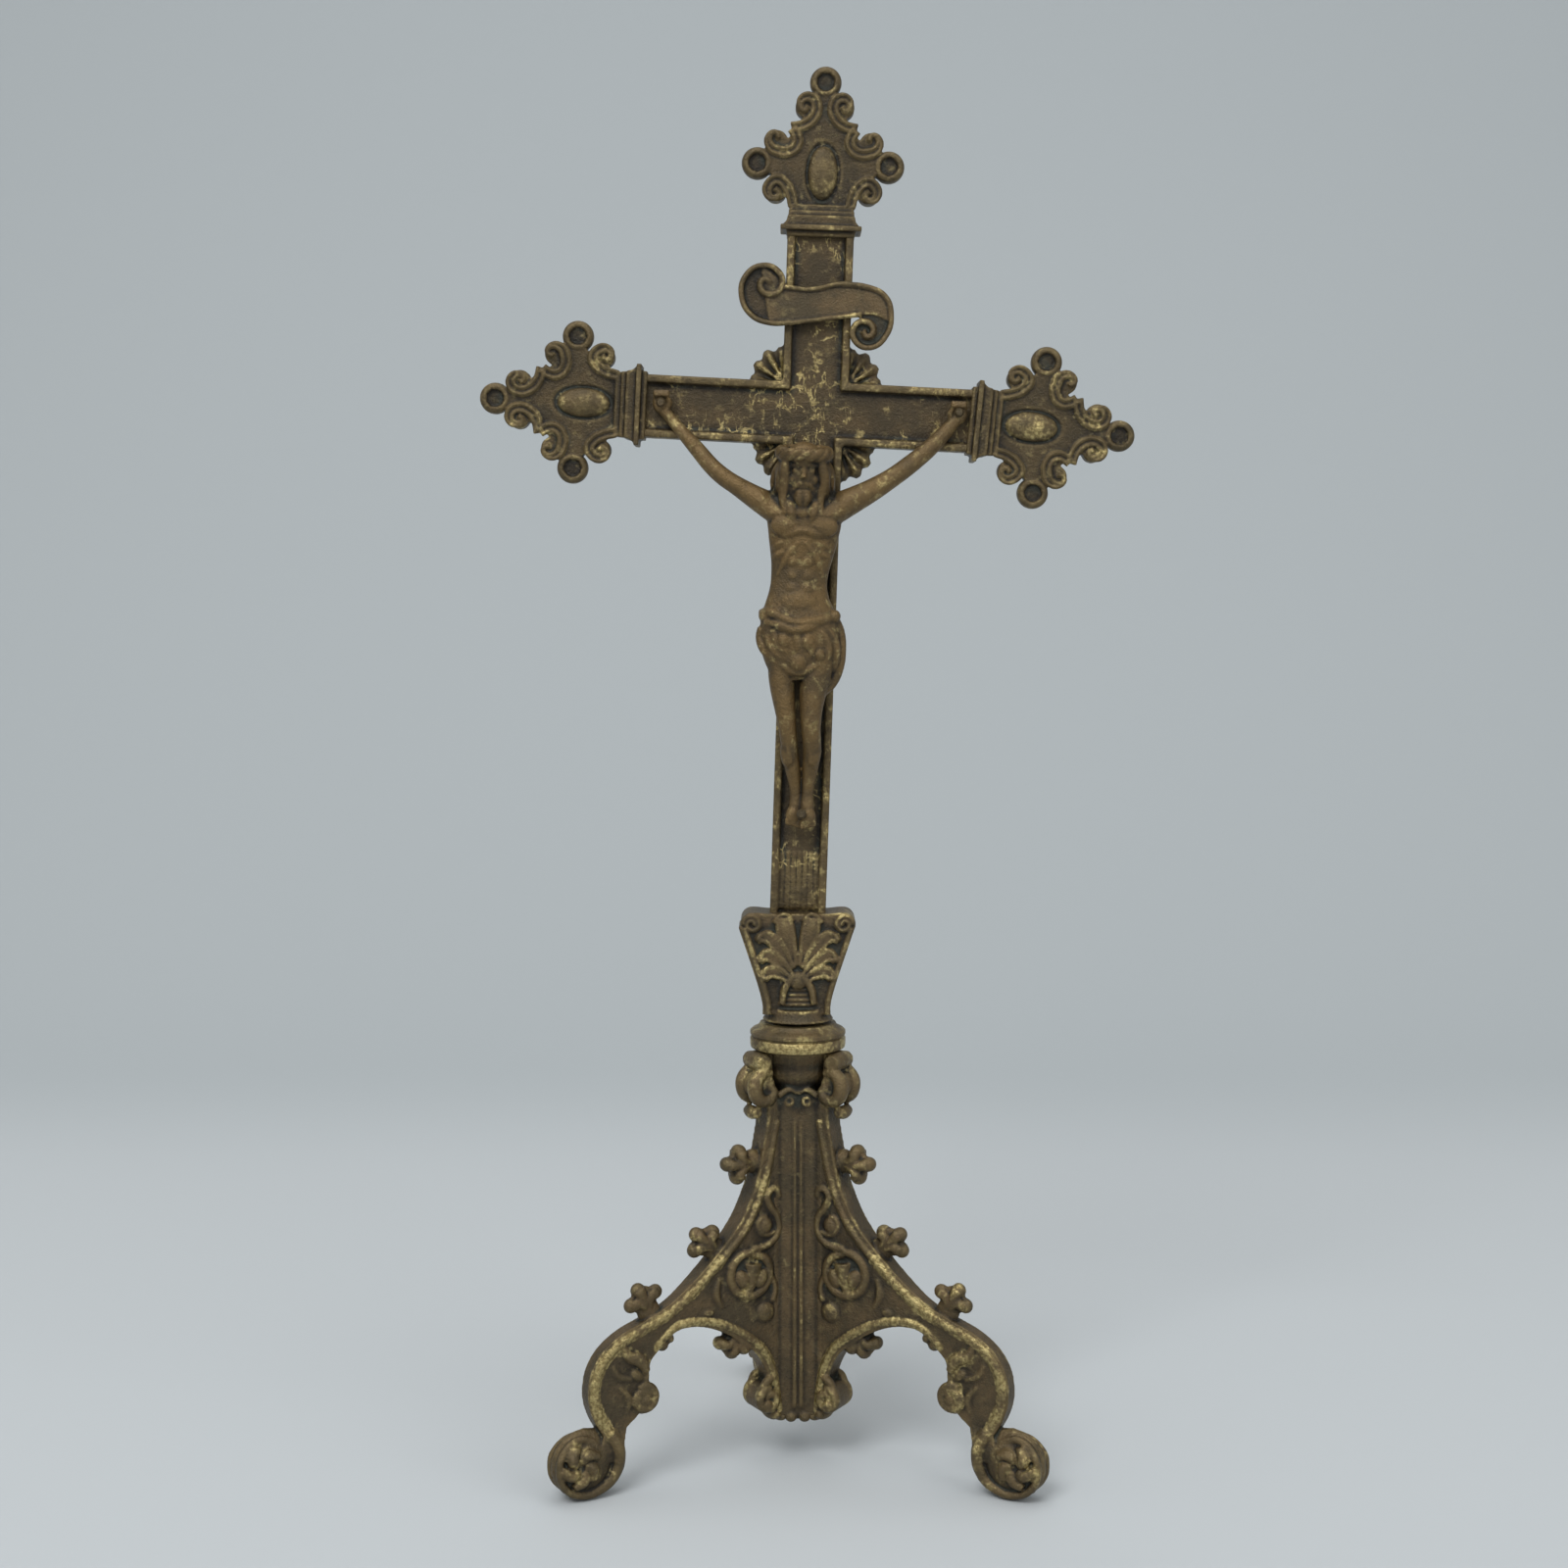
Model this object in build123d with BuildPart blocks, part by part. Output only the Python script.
from build123d import *

import os
from math import cos, radians, sin

os.makedirs("parts", exist_ok=True)

# A standing altar crucifix of cast brass, in millimetres.
# The axis of the tie rod is Z, the floor is z = 0 and the front looks towards -Y.

# Fits between pieces
fit_gap = 0.03
running_gap = 0.05
turning_gap = 0.4
slot_gap = 0.15

# Tie rod, washer and nut
rod_radius = 2.0
rod_end_height = 14.5
rod_hold = 12.0
washer_radius = 4.2
washer_thickness = 0.8
nut_across_flats = 7.0
nut_height = 3.2

# Base: a post with three scroll legs set on its flats
base_height = 111.6
leg_thickness = 8.0
leg_reach = 64.0
front_leg_spread = 120.0
rear_leg_skew = 8.0
post_flat = 5.5
post_foot_height = 11.4
post_head_radius = 8.3
post_head_height = 7.0
nut_well_depth = 7.7
foot_radius = 9.2
foot_flat = 0.5
foot_boss = 0.8
foot_eye_radius = 3.2
leg_neck_reach = 11.0
leg_neck_drop = 20.0
leg_head_reach = 13.0
head_volute_radius = 4.8
head_bead_radius = 2.4
head_bud_radius = 3.0
arch_height = 40.8
arch_reach = 30.0
arch_leaf_radius = 2.2
arch_bud_radius = 1.9
knee_volute_radius = 4.2
knee_volute_height = 25.3
knee_volute_setback = 15.2
pendant_volute_radius = 4.5
pendant_volute_height = 18.7
pendant_reach = 11.8
pendant_lobe_radius = 3.4
pendant_lobe_reach = 9.2
pendant_lobe_rise = 2.0
panel_border = 3.4
panel_depth = 0.7
crocket_lobe_radius = 2.1
crocket_reach = 8.6
crocket_spread = 34.0
crocket_thickness = 6.4
crocket_roots = ((13.2, 82.2), (25.4, 56.2))
knee_crocket = (17.5, 42.8)
crocket_directions = (1.0, 52.0, 86.0)
leg_pin_radius = 1.2
leg_pin_length = 7.0
leg_pin_in_post = 2.2
lower_pin_rise = 26.0
upper_pin_drop = 24.0

# Outline of a leg, as reach and height; near the knee the reach is measured inwards from the foot's
back_points = ((13.8, 83.4), (18.9, 65.8), (32.3, 53.1))
knee_back_points = ((17.2, 43.5), (10.1, 40.2), (1.8, 26.0), (4.8, 16.0))
knee_front_points = ((11.2, 13.2), (11.4, 19.6), (19.4, 34.7))
arch_end = (15.6, 29.6)
pendant_root = (12.4, 18.7)
arch_leaf = (19.8, 32.4)
knee_bud = (23.8, 39.4)
head_volute_reach = 14.6
head_volute_drop = 8.7
head_bead_reach = 14.2
head_bud_reach = 13.4
head_bud_drop = 15.9

# Collar under the socket
collar_radius = 12.8
collar_ring_height = 3.4
collar_height = 7.5
collar_neck_radius = 9.4
collar_bevel = 0.6
collar_step = 0.9

# Palmette socket
socket_neck_width = 17.4
socket_neck_depth = 12.0
socket_neck_height = 2.5
socket_neck_inset = 1.0
socket_width = 30.6
socket_depth = 13.0
socket_height = 30.9
socket_volute_radius = 3.1
tenon_depth = 15.5
palmette_relief = 0.7
palmette_root_drop = 20.5
palmette_petals = ((14.0, 12.5), (44.0, 11.0), (74.0, 8.6), (102.0, 7.0))

# Cross, drawn on a plane that leans to the right of a viewer
cross_lean = 1.9
cross_thickness = 7.0
shaft_width = 14.8
upper_arm_width = 17.2
bar_width = 16.2
bar_height = 129.4
left_reach = 46.1
right_reach = 42.4
top_reach = 47.4
rim_width = 2.0
rim_height = 1.4
fan_length = 9.0
fan_width = 3.3
fan_thickness = 3.0
fan_root = 0.6
fan_angles = (15.0, 45.0, 75.0)

# Finials on the three arm ends, measured from the ridge of their collar
ridge_setback = 1.9
ridge_width = 21.3
ridge_relief = 2.0
ridge_band = 1.2
finial_seat_width = 17.6
finial_seat_relief = 0.4
finial_neck_width = 16.6
finial_neck_reach = 4.6
finial_thickness = 5.0
finial_neck_relief = 0.5
field_half = (
    (8.3, 3.0),
    (8.8, 9.0),
    (13.6, 13.0),
    (14.4, 18.8),
    (10.4, 21.6),
    (7.6, 26.6),
    (4.4, 31.6),
    (2.8, 35.0),
)
field_volutes = ((11.9, 9.2, 2.5), (12.1, 22.2, 2.4), (5.2, 31.1, 2.4))
finial_tip = 37.6
finial_span = 17.35
finial_span_reach = 16.0
cup_radius = 4.0
cup_hole_radius = 2.4
cup_height = 0.9
cup_depth = 2.2
oval_reach = 14.0
oval_length = 13.5
oval_width = 7.6
oval_relief = 1.1
oval_groove = 0.9
oval_groove_depth = 0.6
oval_shoulder = 0.6
right_finial_tilt = 3.5
arm_tenon_width = 10.0
arm_tenon_thickness = 2.4
arm_tenon_length = 6.5
finial_pin_radius = 0.8
finial_pin_reach = 2.6

# Title ribbon on the upper arm
ribbon_drop = 20.4
ribbon_thickness = 2.0
ribbon_width = 8.8
ribbon_left_curl = 7.7
ribbon_right_curl = 7.2
ribbon_left_reach = 13.1
ribbon_right_reach = 12.2
ribbon_curl_rise = 3.1
ribbon_curl_relief = 0.6
ribbon_curl_sink = 1.0
ribbon_wave = 0.8
ribbon_wave_reach = 5.5
ribbon_end_rise = 1.2
ribbon_pin_radius = 0.7
ribbon_pin_spread = 5.0
ribbon_pin_hold = 1.2

# Figure and its three nails
figure_stand_off = 8.6
figure_drop = 109.4
toe_height = 20.0
hand_rise = 1.4
hand_inset = 6.1
right_hand_inset = 5.0
hand_lift = 1.7
nail_stand = 3.6
feet_drop = 104.2
feet_nail_lift = 0.9
nail_radius = 0.7
nail_head_radius = 1.3
nail_head_height = 0.8
nail_depth = 3.5

# Heights of the stack
post_head_floor = base_height - post_head_height
nut_seat = post_foot_height + nut_well_depth
collar_top = base_height + collar_height
socket_neck_top = collar_top + socket_neck_height
socket_top = collar_top + socket_height
rod_top = socket_top - tenon_depth + rod_hold
leg_pin_heights = (post_foot_height + lower_pin_rise, base_height - upper_pin_drop)

# Directions of the legs around the axis
leg_angles = {
    "rear": 90.0 + rear_leg_skew,
    "left": 270.0 - front_leg_spread / 2,
    "right": 270.0 + front_leg_spread / 2,
}

# The cross's own plane: x to the right, y up the shaft, z towards the viewer, zero at the socket's mouth
lean_right = Vector(cos(radians(cross_lean)), 0, -sin(radians(cross_lean)))
cross_plane = Plane(origin=(0, 0, socket_top), x_dir=lean_right, z_dir=(0, -1, 0))
face_level = cross_thickness / 2
recess_level = face_level - rim_height


def leg_plane(angle):
    """Upright plane along a leg: x runs out from the axis and y runs up."""
    turn = radians(angle)
    return Plane(origin=(0, 0, 0), x_dir=(cos(turn), sin(turn), 0), z_dir=(sin(turn), -cos(turn), 0))


def cross_point(right, up, out):
    """A place on the leaning cross, from its right, up and outward distances."""
    return cross_plane.from_local_coords(Vector(right, up, out))


def save(piece, name):
    """Label a finished piece and write its file."""
    piece.part.label = name
    export_step(piece.part, f"parts/{name}.step")


# Post: alternate wide flats for the legs and narrow strips that show between them
post_corners = []
for seat_angle in sorted(leg_angles.values()):
    for half_width in (-leg_thickness / 2, leg_thickness / 2):
        corner = leg_plane(seat_angle).from_local_coords(Vector(post_flat, 0, -half_width))
        post_corners.append((corner.X, corner.Y))

with BuildPart() as base_post:
    with BuildSketch(Plane.XY.offset(post_foot_height)):
        Polygon(*post_corners, align=None)
    extrude(amount=post_head_floor - post_foot_height)
    with BuildSketch(Plane.XY.offset(post_head_floor)):
        Circle(post_head_radius)
    extrude(amount=post_head_height)
    with BuildSketch(Plane.XY):
        Circle(rod_radius + running_gap)
    extrude(amount=base_height, mode=Mode.SUBTRACT)
    with BuildSketch(Plane.XY.offset(post_foot_height)):
        Circle(washer_radius + turning_gap)
    extrude(amount=nut_well_depth, mode=Mode.SUBTRACT)
    for seat_angle in leg_angles.values():
        seat = leg_plane(seat_angle)
        for pin_height in leg_pin_heights:
            with BuildSketch(Plane(seat.from_local_coords((post_flat, pin_height, 0)), z_dir=-seat.x_dir)):
                Circle(leg_pin_radius + fit_gap)
            extrude(amount=leg_pin_in_post, mode=Mode.SUBTRACT)

save(base_post, "base_post")

# Legs: a plate with a swept back, an arch below, crockets, volutes and a scroll foot
neck_height = base_height - leg_neck_drop
foot_centre_height = foot_radius - foot_flat
back_sweep = [(leg_neck_reach, neck_height)]
back_sweep += back_points
back_sweep += [(leg_reach - setback, height) for setback, height in knee_back_points]
knee = (leg_reach - knee_volute_setback, knee_volute_height)
arch_sweep = [(leg_reach - setback, height) for setback, height in knee_front_points]
arch_sweep += [(arch_reach, arch_height), arch_end, pendant_root]
pendant = (pendant_reach, pendant_volute_height)
pendant_lobe = (pendant_lobe_reach, post_foot_height + pendant_lobe_rise)
head_volute = (head_volute_reach, base_height - head_volute_drop)
head_bead = (head_bead_reach, base_height - head_bead_radius)
head_bud = (head_bud_reach, base_height - head_bud_drop)
arch_bud = (leg_reach - knee_bud[0], knee_bud[1])
crocket_places = crocket_roots + ((leg_reach - knee_crocket[0], knee_crocket[1]),)
panel_back = [(reach - panel_border, height - panel_border / 4) for reach, height in back_sweep[:4]]
panel_arch = [(reach, height + panel_border) for reach, height in arch_sweep[3:5]]
panel_foot = (post_flat, panel_arch[1][1] - panel_border)
panel_head = (post_flat, panel_back[0][1])
crocket_heart = crocket_reach * 0.44


def ornament(plane, centre, radius, thickness):
    """A round lump that stands through the plate, equally on both sides."""
    with BuildSketch(plane) as lump:
        with Locations(centre):
            Circle(radius)
    extrude(lump.sketch, amount=thickness / 2, both=True)


def build_leg(angle):
    """One leg casting, standing along the given direction."""
    plane = leg_plane(angle)
    with BuildPart() as leg:
        with BuildSketch(plane):
            with BuildLine():
                Line((post_flat, post_foot_height), (post_flat, base_height))
                Line((post_flat, base_height), (leg_head_reach, base_height))
                Line((leg_head_reach, base_height), back_sweep[0])
                Spline(*back_sweep)
                Line(back_sweep[-1], (leg_reach, foot_centre_height))
                Line((leg_reach, foot_centre_height), arch_sweep[0])
                Spline(*arch_sweep)
                Line(arch_sweep[-1], (pendant_lobe[0], post_foot_height))
                Line((pendant_lobe[0], post_foot_height), (post_flat, post_foot_height))
            make_face()
        extrude(amount=leg_thickness / 2, both=True)
        ornament(plane, (leg_reach, foot_centre_height), foot_radius, leg_thickness + 2 * foot_boss)
        ornament(plane, knee, knee_volute_radius, leg_thickness)
        ornament(plane, pendant, pendant_volute_radius, leg_thickness + 2 * foot_boss)
        ornament(plane, pendant_lobe, pendant_lobe_radius, leg_thickness)
        ornament(plane, head_volute, head_volute_radius, leg_thickness + 2 * foot_boss)
        ornament(plane, head_bead, head_bead_radius, leg_thickness)
        ornament(plane, head_bud, head_bud_radius, leg_thickness)
        ornament(plane, arch_leaf, arch_leaf_radius, leg_thickness)
        ornament(plane, arch_bud, arch_bud_radius, leg_thickness)
        for root_place, direction in zip(crocket_places, crocket_directions):
            root = Vector(*root_place)
            heart = root + Vector(crocket_heart, 0).rotate(Axis.Z, direction)
            ornament(plane, heart, crocket_heart, crocket_thickness)
            for lobe_angle in (direction - crocket_spread, direction, direction + crocket_spread):
                lobe = root + Vector(crocket_reach, 0).rotate(Axis.Z, lobe_angle)
                ornament(plane, lobe, crocket_lobe_radius, crocket_thickness)

        # Sunk panels on both flanks, inside a border along the sweep and the arch
        for side in (1, -1):
            with BuildSketch(plane.offset(side * leg_thickness / 2)):
                with BuildLine():
                    Line(panel_head, panel_back[0])
                    Spline(*panel_back)
                    Line(panel_back[-1], panel_arch[0])
                    Line(panel_arch[0], panel_arch[1])
                    Line(panel_arch[1], panel_foot)
                    Line(panel_foot, panel_head)
                make_face()
            extrude(amount=-side * panel_depth, mode=Mode.SUBTRACT)

            # Eyes of the foot scroll
            with BuildSketch(plane.offset(side * (leg_thickness / 2 + foot_boss))):
                with Locations((leg_reach, foot_centre_height)):
                    Circle(foot_eye_radius)
            extrude(amount=-side * 2 * foot_boss, mode=Mode.SUBTRACT)

        # Hollow for the post's round head, the flat under the foot and the holes for the leg's pins
        with BuildSketch(Plane.XY.offset(post_head_floor)):
            Circle(post_head_radius + fit_gap)
        extrude(amount=2 * post_head_height, mode=Mode.SUBTRACT)
        with BuildSketch(Plane.XY):
            Circle(2 * leg_reach)
        extrude(amount=-foot_radius, mode=Mode.SUBTRACT)
        for pin_height in leg_pin_heights:
            with BuildSketch(Plane(plane.from_local_coords((post_flat, pin_height, 0)), z_dir=plane.x_dir)):
                Circle(leg_pin_radius + fit_gap)
            extrude(amount=leg_pin_length - leg_pin_in_post + fit_gap, mode=Mode.SUBTRACT)
    return leg


for leg_name, leg_angle in leg_angles.items():
    save(build_leg(leg_angle), f"leg_{leg_name}")

# Pins that locate the legs on the post
with BuildPart() as leg_pins:
    for seat_angle in leg_angles.values():
        seat = leg_plane(seat_angle)
        for pin_height in leg_pin_heights:
            pin_root = seat.from_local_coords((post_flat - leg_pin_in_post, pin_height, 0))
            with BuildSketch(Plane(pin_root, z_dir=seat.x_dir)):
                Circle(leg_pin_radius)
            extrude(amount=leg_pin_length)

save(leg_pins, "leg_pins")

# Collar: a turned ring with a hollow flare above it
with BuildPart() as collar:
    with BuildSketch(Plane.XZ):
        with BuildLine():
            ring_top = base_height + collar_ring_height
            flare_foot = (collar_radius - collar_step, ring_top)
            flare_top = (collar_neck_radius, collar_top)
            Polyline(
                flare_top,
                (rod_radius + running_gap, collar_top),
                (rod_radius + running_gap, base_height),
                (collar_radius - collar_bevel, base_height),
                (collar_radius, base_height + collar_bevel),
                (collar_radius, ring_top),
                flare_foot,
            )
            RadiusArc(flare_foot, flare_top, collar_height)
        make_face()
    revolve(axis=Axis.Z)

save(collar, "collar")

# Palmette socket: a tapered block with corner volutes, a palmette on both faces and a mouth for the shaft
volute_height = socket_top - socket_volute_radius
volute_reach = socket_width / 2 - socket_volute_radius
mouth_clear = 2 * slot_gap

with BuildPart() as socket:
    with BuildSketch(Plane.XY.offset(collar_top)):
        Circle(collar_neck_radius - socket_neck_inset)
    extrude(amount=socket_neck_height)
    with BuildSketch(Plane.XY.offset(socket_neck_top)):
        RectangleRounded(socket_neck_width, socket_neck_depth, socket_neck_depth / 4)
    with BuildSketch(Plane.XY.offset(volute_height)):
        RectangleRounded(socket_width - 2 * slot_gap, socket_depth, socket_depth / 12)
    loft(ruled=True)
    with BuildSketch(Plane.XZ):
        with Locations((0, socket_top - socket_volute_radius / 2)):
            Rectangle(2 * volute_reach, socket_volute_radius)
        with Locations((volute_reach, volute_height), (-volute_reach, volute_height)):
            Circle(socket_volute_radius)
    extrude(amount=socket_depth / 2, both=True)
    with BuildSketch(Plane.XZ):
        for petal_angle, petal_length in palmette_petals:
            for side in (1, -1):
                turn = radians(90 - side * petal_angle)
                petal_root = Vector(0, socket_top - palmette_root_drop)
                with Locations(petal_root + Vector(cos(turn), sin(turn)) * (petal_length * 0.62)):
                    Ellipse(petal_length / 2, petal_length / 5, rotation=90 - side * petal_angle)
    extrude(amount=socket_depth / 2 + palmette_relief, both=True)
    with BuildSketch(cross_plane.offset(-(cross_thickness + mouth_clear) / 2)):
        with Locations((0, -(tenon_depth + slot_gap) / 2)):
            Rectangle(shaft_width + mouth_clear, tenon_depth + slot_gap)
        with Locations((0, tenon_depth / 2)):
            Rectangle(shaft_width + mouth_clear, tenon_depth)
    extrude(amount=cross_thickness + mouth_clear, mode=Mode.SUBTRACT)
    with BuildSketch(Plane.XY.offset(collar_top)):
        Circle(rod_radius + running_gap)
    extrude(amount=socket_height, mode=Mode.SUBTRACT)

save(socket, "palmette_socket")

# Ends of the cross's arms, where the finials seat, and the planes of the finials
arm_top = bar_height + top_reach - ridge_setback
arm_left = -(left_reach - ridge_setback)
arm_right = right_reach - ridge_setback
tilt_room = ridge_width / 2 * sin(radians(right_finial_tilt))


def finial_plane(right, up, direction, tilt=0.0):
    """Plane of a finial on its arm's end: x across it, y outwards along it, z towards the viewer."""
    turn = radians(direction - tilt)
    outward = cross_plane.x_dir * cos(turn) + cross_plane.y_dir * sin(turn)
    across = outward.cross(cross_plane.z_dir)
    return Plane(origin=cross_point(right, up, 0), x_dir=across, z_dir=cross_plane.z_dir)


finial_planes = {
    "top": finial_plane(0, bar_height + top_reach, 90),
    "left": finial_plane(-left_reach, bar_height, 180),
    "right": finial_plane(right_reach + tilt_room, bar_height, 0, right_finial_tilt),
}
tenon_ends = {
    "top": (0, arm_top, 90),
    "left": (arm_left, bar_height, 180),
    "right": (arm_right, bar_height, 0),
}

# Places of the ribbon's pins and of the nails; the figure hangs from the bar and its toes keep their height
ribbon_height = bar_height + top_reach - ribbon_drop
ribbon_pin_places = ((-ribbon_pin_spread, ribbon_height), (ribbon_pin_spread, ribbon_height))
figure_stretch = (bar_height - toe_height) / figure_drop
left_hand_reach = left_reach - hand_inset
right_hand_reach = right_reach - right_hand_inset
hand_height = bar_height + hand_rise * figure_stretch
feet_height = bar_height - feet_drop * figure_stretch
nail_places = {
    "left_hand": (-left_hand_reach, hand_height),
    "right_hand": (right_hand_reach, hand_height),
    "feet": (0, feet_height),
}

# Cross: shaft, bar and upper arm in one casting, with raised rims and a pleated fan in each inner corner
bar_low = bar_height - bar_width / 2
bar_high = bar_height + bar_width / 2


def cross_outline(inset):
    """The cross's front outline on the current sketch, drawn in by an inset."""
    with Locations((0, (bar_low - tenon_depth) / 2 + inset)):
        Rectangle(shaft_width - 2 * inset, bar_low + tenon_depth + 2 * inset)
    with Locations(((arm_left + arm_right) / 2, bar_height)):
        Rectangle(arm_right - arm_left - 2 * inset, bar_width - 2 * inset)
    with Locations((0, (bar_high + arm_top) / 2 - inset)):
        Rectangle(upper_arm_width - 2 * inset, arm_top - bar_high + 2 * inset)


with BuildPart() as cross:
    with BuildSketch(cross_plane.offset(-cross_thickness / 2)):
        cross_outline(0)
    extrude(amount=cross_thickness)
    with BuildSketch(cross_plane.offset(recess_level)):
        cross_outline(rim_width)
    extrude(amount=2 * rim_height, mode=Mode.SUBTRACT)
    with BuildSketch(cross_plane.offset(-fan_thickness / 2)):
        for side in (1, -1):
            for rise, half_arm in ((1, upper_arm_width / 2), (-1, shaft_width / 2)):
                corner = Vector(side * half_arm, bar_height + rise * bar_width / 2)
                for fan_angle in fan_angles:
                    turn = radians(fan_angle)
                    petal = Vector(side * cos(turn), rise * sin(turn))
                    with Locations(corner + petal * (fan_length / 2 - fan_root)):
                        Ellipse(fan_length / 2, fan_width / 2, rotation=side * rise * fan_angle)
    extrude(amount=fan_thickness)
    for right, up, direction in tenon_ends.values():
        tenon = finial_plane(right, up, direction)
        with BuildSketch(tenon.offset(-arm_tenon_thickness / 2)):
            with Locations((0, arm_tenon_length / 2)):
                Rectangle(arm_tenon_width, arm_tenon_length)
        extrude(amount=arm_tenon_thickness)

    # Hole for the tie rod, and holes for the pins and nails
    with BuildSketch(Plane.XY.offset(collar_top)):
        Circle(rod_radius + fit_gap)
    extrude(amount=rod_top + fit_gap - collar_top, mode=Mode.SUBTRACT)
    for name, plane in finial_planes.items():
        with BuildSketch(plane.offset(-cross_thickness)):
            with Locations((0, finial_pin_reach)):
                Circle(finial_pin_radius + fit_gap)
        extrude(amount=2 * cross_thickness, mode=Mode.SUBTRACT)
    with BuildSketch(cross_plane.offset(-cross_thickness)):
        with Locations(*ribbon_pin_places):
            Circle(ribbon_pin_radius + fit_gap)
    extrude(amount=2 * cross_thickness, mode=Mode.SUBTRACT)
    with BuildSketch(cross_plane.offset(face_level - nail_depth)):
        with Locations(*nail_places.values()):
            Circle(nail_radius + fit_gap)
    extrude(amount=cross_thickness, mode=Mode.SUBTRACT)

save(cross, "cross")

# Finials: a moulded collar, a cusped field with volutes, three round cups and an oval boss
field_outline = list(field_half) + [(-across, reach) for across, reach in reversed(field_half)]
cup_places = ((0, finial_tip), (finial_span, finial_span_reach), (-finial_span, finial_span_reach))


def build_finial(plane):
    """One finial casting on its own plane."""
    ridge_depth = cross_thickness + 2 * ridge_relief
    with BuildPart() as finial:
        with BuildSketch(plane.offset(-finial_thickness / 2)):
            Polygon(*field_outline, align=None)
            for side in (1, -1):
                for across, reach, radius in field_volutes:
                    with Locations((side * across, reach)):
                        Circle(radius)
            with Locations(*cup_places):
                Circle(cup_radius)
        extrude(amount=finial_thickness)
        with BuildSketch(plane.offset(-finial_thickness / 2)):
            with Locations(*cup_places):
                Circle(cup_radius)
        extrude(amount=finial_thickness + cup_height)

        # Collar moulding, from the arm's seat over the ridge to the neck
        seat = Plane(plane.from_local_coords((0, -ridge_setback, 0)), x_dir=plane.x_dir, z_dir=plane.y_dir)
        with BuildSketch(seat):
            Rectangle(finial_seat_width, cross_thickness + 2 * finial_seat_relief)
        with BuildSketch(seat.offset(ridge_setback - ridge_band / 2)):
            Rectangle(ridge_width, ridge_depth)
        with BuildSketch(seat.offset(ridge_setback + ridge_band / 2)):
            Rectangle(ridge_width, ridge_depth)
        with BuildSketch(seat.offset(ridge_setback + finial_neck_reach)):
            Rectangle(finial_neck_width, finial_thickness + 2 * finial_neck_relief)
        loft(ruled=True)

        # Oval boss in its sunk groove
        with BuildSketch(plane.offset(finial_thickness / 2)):
            with Locations((0, oval_reach)):
                Ellipse(oval_width / 2 + oval_groove, oval_length / 2 + oval_groove)
        extrude(amount=-oval_groove_depth, mode=Mode.SUBTRACT)
        with BuildSketch(plane.offset(finial_thickness / 2 - oval_groove_depth)):
            with Locations((0, oval_reach)):
                Ellipse(oval_width / 2, oval_length / 2)
        with BuildSketch(plane.offset(finial_thickness / 2 + oval_relief / 2)):
            with Locations((0, oval_reach)):
                Ellipse(oval_width / 2 - oval_shoulder, oval_length / 2 - oval_shoulder)
        with BuildSketch(plane.offset(finial_thickness / 2 + oval_relief)):
            with Locations((0, oval_reach)):
                Ellipse(oval_width / 4, oval_length / 3)
        loft(ruled=True)

        # Blind holes of the cups, the pocket for the arm's tenon and the pin hole from behind
        with BuildSketch(plane.offset(finial_thickness / 2 + cup_height)):
            with Locations(*cup_places):
                Circle(cup_hole_radius)
        extrude(amount=-cup_depth, mode=Mode.SUBTRACT)
        pocket_room = 2 * tilt_room
        with BuildSketch(plane.offset(-(arm_tenon_thickness + mouth_clear) / 2)):
            with Locations((0, (arm_tenon_length - ridge_setback) / 2)):
                Rectangle(arm_tenon_width + pocket_room, arm_tenon_length + ridge_setback)
        extrude(amount=arm_tenon_thickness + mouth_clear, mode=Mode.SUBTRACT)
        with BuildSketch(plane.offset(-cross_thickness)):
            with Locations((0, finial_pin_reach)):
                Circle(finial_pin_radius + fit_gap)
        extrude(amount=cross_thickness + arm_tenon_thickness / 2 + slot_gap, mode=Mode.SUBTRACT)
    return finial


for finial_name, plane in finial_planes.items():
    save(build_finial(plane), f"finial_{finial_name}")

with BuildPart() as finial_pins:
    for plane in finial_planes.values():
        with BuildSketch(plane.offset(-cross_thickness / 2)):
            with Locations((0, finial_pin_reach)):
                Circle(finial_pin_radius)
        extrude(amount=(cross_thickness + arm_tenon_thickness) / 2)

save(finial_pins, "finial_pins")

# Title ribbon: an S-shaped band whose ends roll into scrolls, with its face left bare
ribbon_plane = cross_plane.offset(face_level)
left_curl = (-ribbon_left_reach, ribbon_height + ribbon_curl_rise)
right_curl = (ribbon_right_reach, ribbon_height - ribbon_curl_rise)
band_top = ribbon_height + ribbon_width / 2
band_low = ribbon_height - ribbon_width / 2
ribbon_upper = [
    (left_curl[0], band_top + ribbon_end_rise),
    (-ribbon_wave_reach, band_top),
    (ribbon_wave_reach, band_top + ribbon_wave),
    (right_curl[0], band_top),
]
ribbon_lower = [
    (right_curl[0], band_low - ribbon_end_rise),
    (ribbon_wave_reach, band_low),
    (-ribbon_wave_reach, band_low - ribbon_wave),
    (left_curl[0], band_low),
]
curl_top = ribbon_thickness + ribbon_curl_relief

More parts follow.
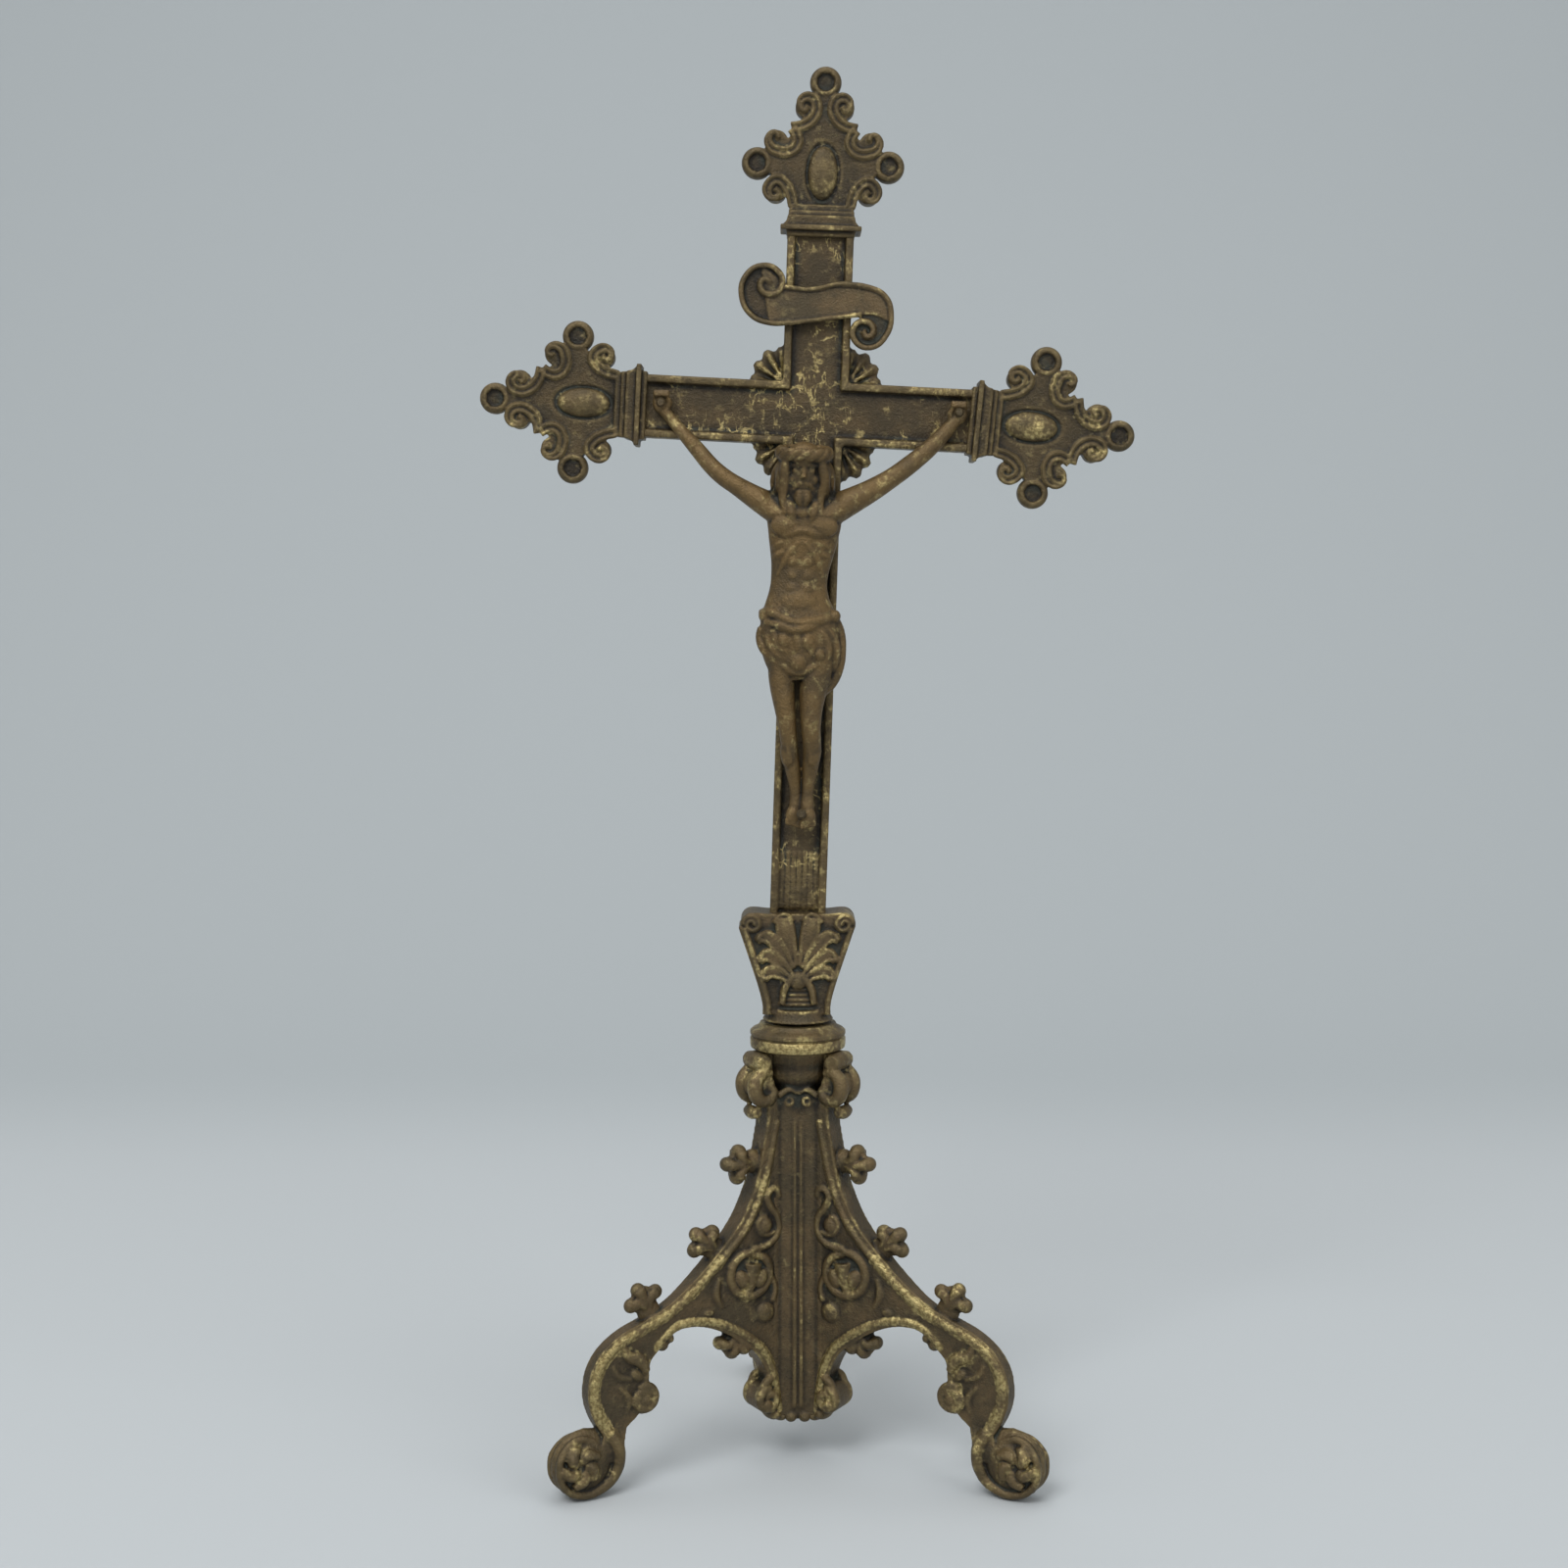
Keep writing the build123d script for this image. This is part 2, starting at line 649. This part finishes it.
with BuildPart() as titulus:
    with BuildSketch(ribbon_plane):
        with BuildLine():
            Spline(*ribbon_upper)
            Line(ribbon_upper[-1], ribbon_lower[0])
            Spline(*ribbon_lower)
            Line(ribbon_lower[-1], ribbon_upper[0])
        make_face()
    extrude(amount=ribbon_thickness)
    for curl, radius in ((left_curl, ribbon_left_curl), (right_curl, ribbon_right_curl)):
        with BuildSketch(ribbon_plane):
            with Locations(curl):
                Circle(radius)
        extrude(amount=curl_top)
        with BuildSketch(ribbon_plane.offset(curl_top)):
            with Locations(curl):
                Circle(radius * 0.62)
        extrude(amount=-ribbon_curl_sink, mode=Mode.SUBTRACT)
        with BuildSketch(ribbon_plane.offset(ribbon_thickness / 2)):
            with Locations(curl):
                Circle(radius * 0.3)
        extrude(amount=curl_top - ribbon_thickness / 2)
    with BuildSketch(ribbon_plane):
        with Locations(*ribbon_pin_places):
            Circle(ribbon_pin_radius + fit_gap)
    extrude(amount=ribbon_pin_hold + fit_gap, mode=Mode.SUBTRACT)

save(titulus, "titulus")

with BuildPart() as titulus_pins:
    with BuildSketch(cross_plane.offset(-cross_thickness / 2)):
        with Locations(*ribbon_pin_places):
            Circle(ribbon_pin_radius)
    extrude(amount=cross_thickness + ribbon_pin_hold)

save(titulus_pins, "titulus_pins")

# Figure: lofted limbs and trunk. A station is right, up from the bar, out, half width and half depth.
out = figure_stand_off
hand_out = recess_level + hand_lift
trunk = [
    (-1.0, -68.0, out - 0.4, 8.0, 4.4),
    (-2.3, -54.0, out, 9.4, 4.9),
    (-2.6, -45.4, out + 0.6, 7.2, 4.3),
    (-1.8, -36.9, out + 1.2, 8.5, 5.0),
    (-1.6, -29.0, out + 1.4, 9.2, 5.0),
    (-1.4, -24.0, out + 1.0, 8.0, 4.0),
    (-2.0, -18.0, out + 2.0, 3.2, 3.0),
]
head = [
    (-2.4, -28.2, out + 2.6, 3.6, 2.4),
    (-1.8, -24.4, out + 2.8, 6.0, 3.8),
    (-1.4, -19.1, out + 2.8, 8.2, 4.8),
    (-2.0, -14.4, out + 2.8, 7.6, 5.2),
    (-2.6, -11.0, out + 2.8, 7.4, 5.2),
    (-2.8, -7.6, out + 2.6, 3.4, 2.8),
]
loincloth = [
    (-0.4, -70.8, out - 0.2, 8.2, 4.4),
    (-0.6, -63.4, out, 10.0, 5.4),
    (-1.9, -56.4, out, 10.9, 5.8),
    (-2.3, -51.6, out + 0.2, 9.8, 5.2),
]
cloth_fall = [
    (7.6, -51.4, out + 0.6, 1.8, 2.6),
    (8.4, -57.4, out + 0.2, 1.8, 3.2),
    (8.0, -70.6, out - 0.6, 1.5, 2.6),
]
left_leg = [
    (-4.6, -63.4, out - 0.2, 4.2, 4.2),
    (-5.5, -73.6, out + 0.2, 3.0, 3.4),
    (-4.1, -81.5, out + 1.0, 2.5, 2.9),
    (-3.6, -85.9, out + 0.6, 2.5, 2.8),
    (-2.5, -92.0, out - 1.4, 2.1, 2.4),
    (-1.2, -98.2, out - 3.2, 1.5, 1.8),
    (-0.9, -103.0, out - 3.6, 2.6, 2.0),
    (-1.5, -108.0, out - 2.8, 2.0, 1.3),
]
right_leg = [
    (2.4, -63.4, out, 4.2, 4.2),
    (2.2, -71.4, out + 0.6, 3.6, 3.8),
    (1.5, -77.0, out + 1.4, 2.8, 3.2),
    (2.0, -82.4, out + 1.6, 2.9, 3.0),
    (2.2, -87.0, out + 0.8, 2.6, 2.8),
    (2.1, -92.6, out - 1.0, 2.0, 2.3),
    (1.7, -98.0, out - 2.2, 1.6, 1.8),
    (1.1, -103.4, out - 2.0, 2.7, 2.0),
    (1.7, -108.8, out - 1.2, 2.0, 1.2),
]
left_arm = [
    (-4.6, -27.4, out + 0.8, 3.4, 3.4),
    (-11.0, -24.2, out + 0.2, 3.2, 3.2),
    (-0.46 * left_hand_reach, -21.2, out - 1.0, 2.9, 2.9),
    (-0.62 * left_hand_reach, -17.0, out - 2.0, 2.8, 2.7),
    (-0.775 * left_hand_reach, -9.9, out - 3.4, 2.7, 2.5),
    (-0.9 * left_hand_reach, -4.7, out - 4.6, 2.1, 1.7),
    (-left_hand_reach, hand_rise, hand_out, 2.5, 1.6),
    (-left_hand_reach - 0.3, hand_rise + 3.0, hand_out, 1.5, 1.2),
]
right_arm = [
    (1.8, -27.0, out + 0.8, 3.4, 3.4),
    (9.2, -22.6, out + 0.2, 3.0, 3.0),
    (0.49 * right_hand_reach, -17.4, out - 1.0, 2.6, 2.7),
    (0.7 * right_hand_reach, -11.4, out - 2.4, 2.8, 2.6),
    (0.893 * right_hand_reach, -4.0, out - 4.2, 2.4, 1.9),
    (right_hand_reach, hand_rise, hand_out, 2.3, 1.6),
    (right_hand_reach + 0.2, hand_rise + 3.0, hand_out, 1.5, 1.2),
]


def loft_limb(stations):
    """Loft ellipses along a limb, each one square to the line through its neighbours."""
    places = []
    for right, up, outward, _, _ in stations:
        places.append(cross_point(right, bar_height + up * figure_stretch, outward))
    underside = (places[-1] - places[0]).cross(cross_plane.z_dir)
    if underside.dot(cross_plane.y_dir) > 0:
        underside = -underside
    sections = []
    for index, (_, _, _, half_width, half_depth) in enumerate(stations):
        before = places[max(index - 1, 0)]
        after = places[min(index + 1, len(places) - 1)]
        along = (after - before).normalized()
        across = (underside - along * underside.dot(along)).normalized()
        with BuildSketch(Plane(places[index], x_dir=across, z_dir=along)) as station:
            Ellipse(half_width, half_depth)
        sections.append(station.sketch)
    loft(sections)


with BuildPart() as corpus:
    for limb in (trunk, head, loincloth, cloth_fall, left_leg, right_leg, left_arm, right_arm):
        loft_limb(limb)
    add(cross.part, mode=Mode.SUBTRACT)
    with BuildSketch(cross_plane):
        with Locations(*nail_places.values()):
            Circle(nail_radius + fit_gap)
    extrude(amount=4 * out, mode=Mode.SUBTRACT)

save(corpus, "corpus")

# Nails: one through each hand and one through the crossed feet
hand_nail_level = recess_level + nail_stand
nail_levels = {"left_hand": hand_nail_level, "right_hand": hand_nail_level, "feet": out + feet_nail_lift}
for nail_name, (right, up) in nail_places.items():
    head_level = nail_levels[nail_name]
    with BuildPart() as nail:
        with BuildSketch(cross_plane.offset(face_level - nail_depth)):
            with Locations((right, up)):
                Circle(nail_radius)
        extrude(amount=head_level - face_level + nail_depth)
        with BuildSketch(cross_plane.offset(head_level)):
            with Locations((right, up)):
                Circle(nail_head_radius)
        extrude(amount=nail_head_height, taper=30)
    save(nail, f"nail_{nail_name}")

# Tie rod from the nut up into the shaft, with its washer and nut in the post's well
with BuildPart() as tie_rod:
    with BuildSketch(Plane.XY.offset(rod_end_height)):
        Circle(rod_radius)
    extrude(amount=rod_top - rod_end_height)

save(tie_rod, "tie_rod")

with BuildPart() as base_washer:
    with BuildSketch(Plane.XY.offset(nut_seat - washer_thickness)):
        Circle(washer_radius)
        Circle(rod_radius + fit_gap, mode=Mode.SUBTRACT)
    extrude(amount=washer_thickness)

save(base_washer, "base_washer")

with BuildPart() as base_nut:
    with BuildSketch(Plane.XY.offset(nut_seat - washer_thickness - nut_height)):
        RegularPolygon(nut_across_flats / 2, 6, major_radius=False)
        Circle(rod_radius + fit_gap, mode=Mode.SUBTRACT)
    extrude(amount=nut_height)

save(base_nut, "base_nut")
